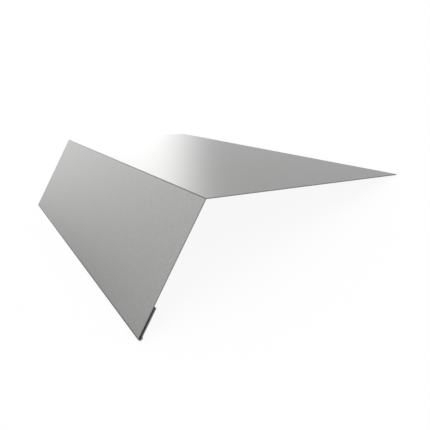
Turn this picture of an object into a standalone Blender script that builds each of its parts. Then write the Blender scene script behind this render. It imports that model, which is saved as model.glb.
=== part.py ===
"""Eaves flashing: one strip of thin coated steel, folded lengthways.

A wide flange lies on the roof deck, a narrower leg hangs from the fold over the eaves, and the
leg's lower edge is turned back inwards as a teardrop hem. The strip is drawn as the line through
the middle of the sheet, seen from the near end, then given its thickness and run along its length.

Section axes: w runs from the fold along the flange, n is the flange's weather side.
World axes: +Y along the fold, +X from the leg to the flange's free edge, +Z up. The flashing
stands unheld on level ground, on the flange's free edge and on the hem.
"""

import math

import bmesh
import bpy
from mathutils import Matrix, Vector

# Sheet
LENGTH = 0.280
SHEET_THICKNESS = 0.00055

# Widths, measured on the weather side from the sharp corner that the fold's faces would meet in
FLANGE_WIDTH = 0.122
LEG_WIDTH = 0.070
FOLD_INNER_RADIUS = 0.0005
FOLD_INSIDE_ANGLE = math.radians(120)

# Teardrop hem: a round bead, a neck that closes it, and a flap that runs back up behind the leg
HEM_WIDTH = 0.0164
HEM_GAP = 0.00085
BEAD_INNER_RADIUS = 0.00065
NECK_INNER_RADIUS = 0.00065

# Largest turn of one facet of a bend, and the turn from which an edge is shaded as sharp
FACET_TURN = math.radians(7.5)
SHARP_TURN = math.radians(30)

COATING_COLOUR = (0.37, 0.37, 0.366, 1.0)
COATING_ROUGHNESS = 0.35
COATING_METALLIC = 1.0


class SheetLine:
    """The line through the middle of the sheet: points in the section, each with its heading."""

    def __init__(self, start, heading):
        self.stations = [(start, heading)]

    def straight(self, distance):
        point, heading = self.stations[-1]
        step = Vector((math.cos(heading), math.sin(heading))) * distance
        self.stations.append((point + step, heading))

    def bend(self, inner_radius, turn):
        """Turns left for a positive turn. The inner radius is the one on the inside of the bend."""
        point, heading = self.stations[-1]
        side = math.copysign(1, turn)
        radius = inner_radius + SHEET_THICKNESS / 2
        centre = point + left_of(heading) * side * radius
        facets = math.ceil(abs(turn) / FACET_TURN)
        for facet in range(1, facets + 1):
            turned = heading + turn * facet / facets
            self.stations.append((centre - left_of(turned) * side * radius, turned))

    def offset(self, distance):
        """Points that lie this far to the left of the line."""
        return [point + left_of(heading) * distance for point, heading in self.stations]


def left_of(heading):
    return Vector((-math.sin(heading), math.cos(heading)))


def flashing_line():
    """From the flange's free edge, round the fold, down the leg and back up the hem's flap."""
    fold_turn = math.pi - FOLD_INSIDE_ANGLE
    fold_setback = (FOLD_INNER_RADIUS + SHEET_THICKNESS) * math.tan(fold_turn / 2)
    bead_radius = BEAD_INNER_RADIUS + SHEET_THICKNESS / 2
    neck_radius = NECK_INNER_RADIUS + SHEET_THICKNESS / 2
    bead_outer_radius = BEAD_INNER_RADIUS + SHEET_THICKNESS

    # The bead turns past a half circle, and the neck turns back, to bring the flap to its gap
    closing = 2 * bead_radius - (HEM_GAP + SHEET_THICKNESS)
    neck_turn = math.acos(1 - closing / (bead_radius + neck_radius))
    neck_rise = (bead_radius + neck_radius) * math.sin(neck_turn)

    line = SheetLine(Vector((FLANGE_WIDTH, -SHEET_THICKNESS / 2)), math.pi)
    line.straight(FLANGE_WIDTH - fold_setback)
    line.bend(FOLD_INNER_RADIUS, fold_turn)
    line.straight(LEG_WIDTH - fold_setback - bead_outer_radius)
    line.bend(BEAD_INNER_RADIUS, math.pi + neck_turn)
    line.bend(NECK_INNER_RADIUS, -neck_turn)
    line.straight(HEM_WIDTH - bead_outer_radius - neck_rise)
    return line


def standing_tilt(outline):
    """The turn that brings the flange's free edge and the hem's bead down to one level."""
    foot = min((p for p in outline if p.x > FLANGE_WIDTH / 2), key=lambda p: (-p.x, p.y))
    slopes = [math.atan2(foot.y - p.y, foot.x - p.x) for p in outline if p.x < 0]
    return max(slopes)


def extruded_sheet(name, inner, outer):
    """A closed solid between two section outlines of equal count, run along the whole length."""
    mesh = bpy.data.meshes.new(name)
    work = bmesh.new()
    near_end = -LENGTH / 2
    rows = [
        [work.verts.new((p.x, near_end, p.y)) for p in side]
        for side in (inner, outer)
    ]
    section = [
        work.faces.new((rows[0][i], rows[0][i + 1], rows[1][i + 1], rows[1][i]))
        for i in range(len(inner) - 1)
    ]
    extruded = bmesh.ops.extrude_face_region(work, geom=section, use_keep_orig=True)
    far_end = [item for item in extruded["geom"] if isinstance(item, bmesh.types.BMVert)]
    bmesh.ops.translate(work, verts=far_end, vec=(0, LENGTH, 0))
    bmesh.ops.recalc_face_normals(work, faces=work.faces)
    work.to_mesh(mesh)
    work.free()
    mesh.shade_smooth()
    mesh.set_sharp_from_angle(angle=SHARP_TURN)
    return mesh


def coated_steel():
    material = bpy.data.materials.new("coated_steel")
    material.use_nodes = True
    shader = material.node_tree.nodes["Principled BSDF"]
    shader.inputs["Base Color"].default_value = COATING_COLOUR
    shader.inputs["Roughness"].default_value = COATING_ROUGHNESS
    shader.inputs["Metallic"].default_value = COATING_METALLIC
    return material


def eaves_flashing():
    line = flashing_line()
    inner = line.offset(SHEET_THICKNESS / 2)
    outer = line.offset(-SHEET_THICKNESS / 2)
    flashing = bpy.data.objects.new(
        "eaves_flashing", extruded_sheet("eaves_flashing", inner, outer)
    )
    flashing.data.materials.append(coated_steel())
    bpy.context.scene.collection.objects.link(flashing)

    tilt = standing_tilt(inner + outer)
    turn = Matrix.Rotation(-tilt, 2)
    standing = [turn @ p for p in inner + outer]
    left, right = min(p.x for p in standing), max(p.x for p in standing)
    floor = min(p.y for p in standing)
    flashing.rotation_euler = (0, tilt, 0)
    flashing.location = (-(left + right) / 2, 0, -floor)


def main():
    for old in list(bpy.data.objects):
        bpy.data.objects.remove(old)
    eaves_flashing()


main()
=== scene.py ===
"""Looks of the eaves flashing: a strip of coated steel sheet, folded lengthways, on a pale floor.

Lengths are in metres. The sheet's section is drawn as the line through its middle, with the same
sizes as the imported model, but with finer bends and with softened cut edges. The camera and the
studio's cards are placed in the flange's own directions, from the near end of the fold: across
the flange, along the fold and above the flange.
"""

import math

import bmesh
import bpy
from mathutils import Matrix, Vector


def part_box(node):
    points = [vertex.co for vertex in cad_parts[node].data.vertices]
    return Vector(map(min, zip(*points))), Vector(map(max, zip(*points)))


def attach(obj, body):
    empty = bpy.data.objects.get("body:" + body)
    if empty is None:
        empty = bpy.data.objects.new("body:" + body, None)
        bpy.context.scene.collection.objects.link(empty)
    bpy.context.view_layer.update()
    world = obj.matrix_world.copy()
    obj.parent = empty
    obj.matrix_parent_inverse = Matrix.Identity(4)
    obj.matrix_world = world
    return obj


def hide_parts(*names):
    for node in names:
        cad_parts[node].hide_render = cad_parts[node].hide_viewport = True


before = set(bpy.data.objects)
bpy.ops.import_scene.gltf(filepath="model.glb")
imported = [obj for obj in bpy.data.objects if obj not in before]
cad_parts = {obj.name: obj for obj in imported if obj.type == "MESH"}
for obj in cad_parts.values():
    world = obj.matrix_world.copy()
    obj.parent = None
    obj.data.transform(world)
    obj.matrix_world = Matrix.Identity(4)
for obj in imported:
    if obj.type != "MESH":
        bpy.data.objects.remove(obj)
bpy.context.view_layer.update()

NODE = "eaves_flashing"
UV_MAP = "unrolled"

# Section of the sheet. Widths run from the sharp corner that the fold's outer faces would meet in
SHEET_THICKNESS = 0.00055
FLANGE_WIDTH = 0.122
LEG_WIDTH = 0.070
FOLD_INNER_RADIUS = 0.0005
FOLD_INSIDE_ANGLE = math.radians(120)
HEM_WIDTH = 0.0164
HEM_GAP = 0.00085
BEAD_INNER_RADIUS = 0.00065
NECK_INNER_RADIUS = 0.00065

# Largest turn of one facet of a bend, and the turn from which an edge counts as sharp
FACET_TURN = math.radians(3)
SHARP_TURN = math.radians(60)

# Softened cut edges: the width that is rounded off, and its facets
CUT_EDGE_ROUNDING = 0.00006
CUT_EDGE_FACETS = 2

# Places of the materials in the sheet's list of them
# The fold's ridge and the hem's bends have places for colours that are partly painted shade
WEATHER_SIDE, FOLD_RIDGE_PAINTED_SHADE, HEM_BENDS_PAINTED_SHADE, BACK_SIDE, CUT_EDGE = range(5)

# Satin metallic coat: its colour, its tint at a glancing angle, and its gloss on each side. The
# back's thinner coat is part pigment, and lets some light into the hem's gap
COAT_COLOUR = (0.37, 0.37, 0.366)
COAT_GLANCING_TINT = (0.65, 0.65, 0.65, 1)
WEATHER_ROUGHNESS = 0.302
BACK_COLOUR = (0.36, 0.36, 0.356)
BACK_ROUGHNESS = 0.45
BACK_METALLIC = 0.7

# Where a bend stretches the coat it is duller. Its darker colour there is partly the stretched coat
# and partly painted shade, most of all the painted dark line along the fold's ridge
RIDGE_PAINTED_SHADE_COLOUR = (0.14, 0.14, 0.14)
HEM_BENDS_PAINTED_SHADE_COLOUR = (0.25, 0.25, 0.248)
STRETCHED_ROUGHNESS = 0.33

# Shares of the fold's turn, from the flange on, and what lies there: the ridge's painted dark line
# between plain coat
FOLD_TURNS = ((0.15, WEATHER_SIDE), (0.7, FOLD_RIDGE_PAINTED_SHADE), (0.15, WEATHER_SIDE))

# Grain of the coat: flakes that differ in shade and gloss, and a very shallow unevenness
FLAKE_SIZE = 0.0006
FLAKE_SHADE = 0.06
FLAKE_GLOSS = 0.012
SKIN_SIZE = 0.0012
SKIN_DETAIL = 2.0
SKIN_DEPTH = 0.00003

# Sheared steel of the cut edges, with streaks across the thickness
CUT_COLOUR = (0.18, 0.18, 0.184)
CUT_ROUGHNESS = 0.45
STREAK_WIDTH = 0.00012
STREAK_DETAIL = 3.0
STREAK_SHADE = 0.25
STREAK_GLOSS = 0.1
STREAK_DEPTH = 0.000006

# Camera: its place, its turn from the fold's direction, its lens and sensor in millimetres, its
# rise as a share of the picture's width, and the least distance at which it sees
CAMERA_PLACE = (-0.08986, -0.16996, 0.04514)
CAMERA_YAW = math.radians(29.077)
CAMERA_PITCH = math.radians(-17.622)
CAMERA_LENS = 37.546
CAMERA_SENSOR = 36.0
CAMERA_RISE = 0.0411
CAMERA_NEAR_LIMIT = 0.005

# Floor: its width, how far it lies below the sheet, and how much of its white comes from the room
FLOOR_SIZE = 8.0
FLOOR_DROP = 0.0002
FLOOR_SHADE = 0.1

# How far the studio's cards stand from the near end of the fold
CARD_DISTANCE = 12.0

# The cards' edges, in degrees to the right of the fold's far end and above the flange, each with
# the width over which the card fades out. The camera's view mirrors the first two. The others
# give the metal its soft gradients when it is seen from behind or from above
SOFTBOX = {"left": (-7.8, 40), "right": (25.1, 8.8), "low": (-4.2, 17), "high": (24, 3)}
SOFTBOX_RADIANCE = 3.23
GREY_CARD = {"left": (-75, 10), "right": (-4.2, 18), "low": (-75, 10), "high": (-3.5, 3.6)}
GREY_CARD_RADIANCE = 0.548
BACK_SOFTBOX = {"left": (155, 30), "right": (190, 24), "low": (-8, 20), "high": (26, 16)}
BACK_SOFTBOX_RADIANCE = 2.2
OVERHEAD = {"left": (-42, 34), "right": (34, 40), "low": (52, 34), "high": (128, 34)}
OVERHEAD_RADIANCE = 1.45
OVERHEAD_TILT = 90


def left_of(heading):
    """A step of one metre to the left of a heading in the section."""
    return Vector((-math.sin(heading), math.cos(heading)))


class SheetLine:
    """The line through the middle of the sheet: points in the section, each with its heading.

    It also holds the place of the weather side's material on each stretch between two points.
    """

    def __init__(self, start, heading):
        self.stations = [(start, heading)]
        self.coats = []

    def straight(self, distance):
        point, heading = self.stations[-1]
        step = Vector((math.cos(heading), math.sin(heading))) * distance
        self.stations.append((point + step, heading))
        self.coats.append(WEATHER_SIDE)

    def bend(self, inner_radius, turn, coat_place):
        """Turns left for a positive turn. The inner radius is the one on the inside of the bend."""
        point, heading = self.stations[-1]
        side = math.copysign(1, turn)
        radius = inner_radius + SHEET_THICKNESS / 2
        centre = point + left_of(heading) * side * radius
        facets = math.ceil(abs(turn) / FACET_TURN)
        for facet in range(1, facets + 1):
            turned = heading + turn * facet / facets
            self.stations.append((centre - left_of(turned) * side * radius, turned))
            self.coats.append(coat_place)

    def offset(self, distance):
        """Points that lie this far to the left of the line."""
        return [point + left_of(heading) * distance for point, heading in self.stations]

    def distances(self):
        """How far along the line each station lies."""
        steps = [0.0]
        for (here, _), (there, _) in zip(self.stations, self.stations[1:]):
            steps.append(steps[-1] + (there - here).length)
        return steps


def flashing_line():
    """From the flange's free edge, round the fold, down the leg and back up the hem's flap."""
    fold_turn = math.pi - FOLD_INSIDE_ANGLE
    fold_setback = (FOLD_INNER_RADIUS + SHEET_THICKNESS) * math.tan(fold_turn / 2)
    bead_radius = BEAD_INNER_RADIUS + SHEET_THICKNESS / 2
    neck_radius = NECK_INNER_RADIUS + SHEET_THICKNESS / 2
    bead_outer_radius = BEAD_INNER_RADIUS + SHEET_THICKNESS

    # The bead turns past a half circle, and the neck turns back, to bring the flap to its gap
    closing = 2 * bead_radius - (HEM_GAP + SHEET_THICKNESS)
    neck_turn = math.acos(1 - closing / (bead_radius + neck_radius))
    neck_rise = (bead_radius + neck_radius) * math.sin(neck_turn)

    line = SheetLine(Vector((FLANGE_WIDTH, -SHEET_THICKNESS / 2)), math.pi)
    line.straight(FLANGE_WIDTH - fold_setback)
    for share, coat_place in FOLD_TURNS:
        line.bend(FOLD_INNER_RADIUS, fold_turn * share, coat_place)
    line.straight(LEG_WIDTH - fold_setback - bead_outer_radius)
    # The hem's bends take a darker colour that is partly painted shade
    line.bend(BEAD_INNER_RADIUS, math.pi + neck_turn, HEM_BENDS_PAINTED_SHADE)
    line.bend(NECK_INNER_RADIUS, -neck_turn, HEM_BENDS_PAINTED_SHADE)
    line.straight(HEM_WIDTH - bead_outer_radius - neck_rise)
    return line


def flange_slope():
    """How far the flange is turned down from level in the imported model, from its largest faces."""
    flat = max(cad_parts[NODE].data.polygons, key=lambda face: face.area)
    return math.atan2(abs(flat.normal.x), abs(flat.normal.z))


def flange_to_frame(line):
    """Places the section, at the near end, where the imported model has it."""
    low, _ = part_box(NODE)
    turn = Matrix.Rotation(flange_slope(), 4, "Y")
    outline = line.offset(SHEET_THICKNESS / 2) + line.offset(-SHEET_THICKNESS / 2)
    turned = [turn @ Vector((p.x, 0, p.y)) for p in outline]
    left = min(p.x for p in turned)
    base = min(p.z for p in turned)
    return Matrix.Translation((low.x - left, low.y, low.z - base)) @ turn


def sheet_mesh(name, line, length):
    """A closed solid between the two sides of the line, run along the length.

    Its UV map unrolls the sheet: u runs along the section's line and v along the length.
    """
    work = bmesh.new()
    unrolled = {}

    def corners(side, along):
        made = [work.verts.new((p.x, along, p.y)) for p in side]
        unrolled.update(zip(made, ((u, along) for u in line.distances())))
        return made

    sides = line.offset(SHEET_THICKNESS / 2), line.offset(-SHEET_THICKNESS / 2)
    near_back, near_weather = [corners(side, 0.0) for side in sides]
    far_back, far_weather = [corners(side, length) for side in sides]
    for i, coat_place in enumerate(line.coats):
        j = i + 1
        strips = (
            (coat_place, (near_weather[i], near_weather[j], far_weather[j], far_weather[i])),
            (BACK_SIDE, (near_back[i], near_back[j], far_back[j], far_back[i])),
            (CUT_EDGE, (near_back[i], near_back[j], near_weather[j], near_weather[i])),
            (CUT_EDGE, (far_back[i], far_back[j], far_weather[j], far_weather[i])),
        )
        for place, around in strips:
            work.faces.new(around).material_index = place
    for i in (0, -1):
        around = (near_back[i], near_weather[i], far_weather[i], far_back[i])
        work.faces.new(around).material_index = CUT_EDGE
    bmesh.ops.recalc_face_normals(work, faces=work.faces)
    uv_map = work.loops.layers.uv.new(UV_MAP)
    for face in work.faces:
        for corner in face.loops:
            corner[uv_map].uv = unrolled[corner.vert]
    mesh = bpy.data.meshes.new(name)
    work.to_mesh(mesh)
    work.free()
    mesh.shade_smooth()
    mesh.set_sharp_from_angle(angle=SHARP_TURN)
    return mesh


def new_node(tree, kind, **values):
    """A shader node with its sockets set, named by their labels in lower case with underscores."""
    node = tree.nodes.new(kind)
    for socket in node.inputs:
        label = socket.name.lower().replace(" ", "_")
        if socket.enabled and label in values:
            socket.default_value = values[label]
    return node


def new_material(name, metallic, roughness):
    material = bpy.data.materials.new(name)
    material.use_nodes = True
    shader = material.node_tree.nodes["Principled BSDF"]
    shader.inputs["Metallic"].default_value = metallic
    shader.inputs["Roughness"].default_value = roughness
    return material, material.node_tree, shader


def spread(tree, source, low, high):
    """Takes a source from 0 to 1 to the range from low to high."""
    ranged = new_node(tree, "ShaderNodeMapRange", to_min=low, to_max=high)
    tree.links.new(source, ranged.inputs["Value"])
    return ranged.outputs["Result"]


def shaded(tree, source, colour, share):
    """The colour, darker by this share where the source is 0 and lighter by it where it is 1."""
    blend = tree.nodes.new("ShaderNodeMix")
    blend.data_type = "RGBA"
    factor, dark, light = [socket for socket in blend.inputs if socket.enabled]
    dark.default_value = (*(c * (1 - share) for c in colour), 1)
    light.default_value = (*(c * (1 + share) for c in colour), 1)
    tree.links.new(source, factor)
    return next(socket for socket in blend.outputs if socket.enabled)


def uneven(tree, shader, height, depth):
    """Makes the surface rise by this depth from where the height is 0 to where it is 1."""
    bump = new_node(tree, "ShaderNodeBump", distance=depth)
    tree.links.new(height, bump.inputs["Height"])
    tree.links.new(bump.outputs["Normal"], shader.inputs["Normal"])


def pattern(tree, kind, spot, size, **values):
    """A texture with features of this size.

    It scales the spot and not the texture, because a texture's own scale is capped.
    """
    scaled = new_node(tree, "ShaderNodeVectorMath")
    scaled.operation = "SCALE"
    scaled.inputs["Scale"].default_value = 1 / size
    texture = new_node(tree, kind, scale=1.0, **values)
    tree.links.new(spot, scaled.inputs[0])
    tree.links.new(scaled.outputs[0], texture.inputs["Vector"])
    return texture


def coat(name, colour, roughness, metallic=1.0):
    """Satin metallic coat with a fine grain."""
    material, tree, shader = new_material(name, metallic, roughness)
    shader.inputs["Specular Tint"].default_value = COAT_GLANCING_TINT
    spot = tree.nodes.new("ShaderNodeTexCoord").outputs["Object"]
    flakes = pattern(tree, "ShaderNodeTexVoronoi", spot, FLAKE_SIZE)
    parts = tree.nodes.new("ShaderNodeSeparateColor")
    tree.links.new(flakes.outputs["Color"], parts.inputs["Color"])
    shade = shaded(tree, parts.outputs["Red"], colour, FLAKE_SHADE)
    tree.links.new(shade, shader.inputs["Base Color"])
    gloss = spread(tree, parts.outputs["Green"], roughness - FLAKE_GLOSS, roughness + FLAKE_GLOSS)
    tree.links.new(gloss, shader.inputs["Roughness"])
    skin = pattern(tree, "ShaderNodeTexNoise", spot, SKIN_SIZE, detail=SKIN_DETAIL)
    uneven(tree, shader, skin.outputs["Fac"], SKIN_DEPTH)
    return material


def cut_steel():
    """Bare sheared steel with fine streaks that run across the thickness."""
    material, tree, shader = new_material("cut_steel", metallic=1.0, roughness=CUT_ROUGHNESS)
    unrolled = tree.nodes.new("ShaderNodeUVMap")
    unrolled.uv_map = UV_MAP
    spot = unrolled.outputs["UV"]
    streaks = pattern(tree, "ShaderNodeTexNoise", spot, STREAK_WIDTH, detail=STREAK_DETAIL)
    streak = streaks.outputs["Fac"]
    shade = shaded(tree, streak, CUT_COLOUR, STREAK_SHADE)
    tree.links.new(shade, shader.inputs["Base Color"])
    gloss = spread(tree, streak, CUT_ROUGHNESS - STREAK_GLOSS, CUT_ROUGHNESS + STREAK_GLOSS)
    tree.links.new(gloss, shader.inputs["Roughness"])
    uneven(tree, shader, streak, STREAK_DEPTH)
    return material


def surfaces():
    """The sheet's materials, in the order of their places from WEATHER_SIDE to CUT_EDGE."""
    return (
        coat("weather_coat", COAT_COLOUR, WEATHER_ROUGHNESS),
        # The ridge's and the hem's bends' darker colours are partly painted shade
        coat("ridge_coat", RIDGE_PAINTED_SHADE_COLOUR, STRETCHED_ROUGHNESS),
        coat("hem_bends_coat", HEM_BENDS_PAINTED_SHADE_COLOUR, STRETCHED_ROUGHNESS),
        coat("back_coat", BACK_COLOUR, BACK_ROUGHNESS, BACK_METALLIC),
        cut_steel(),
    )


def flashing():
    """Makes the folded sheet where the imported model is. Gives back how the flange lies there."""
    line = flashing_line()
    place = flange_to_frame(line)
    low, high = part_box(NODE)
    sheet = bpy.data.objects.new("folded_sheet", sheet_mesh("folded_sheet", line, high.y - low.y))
    for material in surfaces():
        sheet.data.materials.append(material)
    sheet.data.transform(place)
    bpy.context.scene.collection.objects.link(sheet)
    rounding = sheet.modifiers.new("cut_edge_rounding", "BEVEL")
    rounding.width = CUT_EDGE_ROUNDING
    rounding.segments = CUT_EDGE_FACETS
    rounding.limit_method = "ANGLE"
    rounding.angle_limit = SHARP_TURN
    rounding.harden_normals = True
    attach(sheet, "root")
    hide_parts(NODE)
    return place


def add_camera(place):
    camera = bpy.data.objects.new("camera", bpy.data.cameras.new("camera"))
    camera.data.lens = CAMERA_LENS
    camera.data.sensor_width = CAMERA_SENSOR
    camera.data.shift_y = CAMERA_RISE
    camera.data.clip_start = CAMERA_NEAR_LIMIT
    camera.matrix_world = (
        place
        @ Matrix.Translation(CAMERA_PLACE)
        @ Matrix.Rotation(-CAMERA_YAW, 4, "Z")
        @ Matrix.Rotation(math.pi / 2 + CAMERA_PITCH, 4, "X")
    )
    bpy.context.scene.collection.objects.link(camera)
    bpy.context.scene.camera = camera


def white_room():
    """White to the camera and in the metal's reflections, and the same light from every side."""
    world = bpy.data.worlds.new("white_room")
    world.use_nodes = True
    world.node_tree.nodes["Background"].inputs["Color"].default_value = (1, 1, 1, 1)
    bpy.context.scene.world = world


def stage_board(name, left, right, low, high):
    """A flat board that isn't part of the object, with a bare material for its nodes."""
    mesh = bpy.data.meshes.new(name)
    corners = [(left, low, 0), (right, low, 0), (right, high, 0), (left, high, 0)]
    mesh.from_pydata(corners, [], [range(4)])
    board = bpy.data.objects.new(name, mesh)
    bpy.context.scene.collection.objects.link(board)
    material = bpy.data.materials.new(name)
    material.use_nodes = True
    material.node_tree.nodes.clear()
    mesh.materials.append(material)
    return board, material.node_tree


def add_floor():
    """White where the room's light reaches it, and only a little darker in the sheet's shadow."""
    half = FLOOR_SIZE / 2
    floor, tree = stage_board("floor", -half, half, -half, half)
    floor.location.z = -FLOOR_DROP
    floor.visible_glossy = False
    floor.visible_shadow = False
    grey = (FLOOR_SHADE, FLOOR_SHADE, FLOOR_SHADE, 1)
    diffuse = new_node(tree, "ShaderNodeBsdfDiffuse", color=grey)
    own_light = new_node(tree, "ShaderNodeEmission", strength=1 - FLOOR_SHADE)
    both = tree.nodes.new("ShaderNodeAddShader")
    output = tree.nodes.new("ShaderNodeOutputMaterial")
    tree.links.new(diffuse.outputs[0], both.inputs[0])
    tree.links.new(own_light.outputs[0], both.inputs[1])
    tree.links.new(both.outputs[0], output.inputs[0])


def card_limits(edges, facing, tilt):
    """Where each fade starts and ends on the card, as (start, end) from its outer side inwards."""
    limits = {}
    for name, (middle, width) in edges.items():
        inwards = 1 if name in ("left", "low") else -1
        turned = facing if name in ("left", "right") else tilt
        limits[name] = [
            CARD_DISTANCE * math.tan(math.radians(degrees - turned))
            for degrees in (middle - inwards * width / 2, middle + inwards * width / 2)
        ]
    return limits


def add_card(name, place, edges, radiance, tilt=0):
    """A glowing card with soft edges, upright or tilted up, which only reflections show."""
    facing = (edges["left"][0] + edges["right"][0]) / 2
    limits = card_limits(edges, facing, tilt)
    outer = [limits[side][0] for side in ("left", "right", "low", "high")]
    card, tree = stage_board(name, *outer)
    card.matrix_world = (
        place
        @ Matrix.Rotation(-math.radians(facing), 4, "Z")
        @ Matrix.Rotation(math.radians(tilt), 4, "X")
        @ Matrix.Translation((0, CARD_DISTANCE, 0))
        @ Matrix.Rotation(math.pi / 2, 4, "X")
    )
    for rays in ("camera", "diffuse", "transmission", "volume_scatter", "shadow"):
        setattr(card, "visible_" + rays, False)

    spot = tree.nodes.new("ShaderNodeTexCoord").outputs["Object"]
    split = tree.nodes.new("ShaderNodeSeparateXYZ")
    tree.links.new(spot, split.inputs[0])

    # Each side's fade rises from 0 to what the sides before it leave
    covered = None
    for side, (start, end) in limits.items():
        axis = "X" if side in ("left", "right") else "Y"
        ramp = new_node(tree, "ShaderNodeMapRange", from_min=start, from_max=end)
        ramp.interpolation_type = "SMOOTHSTEP"
        tree.links.new(split.outputs[axis], ramp.inputs["Value"])
        if covered is not None:
            tree.links.new(covered, ramp.inputs["To Max"])
        covered = ramp.outputs["Result"]

    light = new_node(tree, "ShaderNodeEmission", strength=radiance)
    mix = tree.nodes.new("ShaderNodeMixShader")
    output = tree.nodes.new("ShaderNodeOutputMaterial")
    tree.links.new(covered, mix.inputs[0])
    tree.links.new(tree.nodes.new("ShaderNodeBsdfTransparent").outputs[0], mix.inputs[1])
    tree.links.new(light.outputs[0], mix.inputs[2])
    tree.links.new(mix.outputs[0], output.inputs[0])


def main():
    place = flashing()
    add_camera(place)
    white_room()
    add_floor()
    add_card("softbox", place, SOFTBOX, SOFTBOX_RADIANCE)
    add_card("grey_card", place, GREY_CARD, GREY_CARD_RADIANCE)
    add_card("back_softbox", place, BACK_SOFTBOX, BACK_SOFTBOX_RADIANCE)
    add_card("overhead", place, OVERHEAD, OVERHEAD_RADIANCE, OVERHEAD_TILT)
    bpy.context.scene.view_settings.view_transform = "Standard"


main()
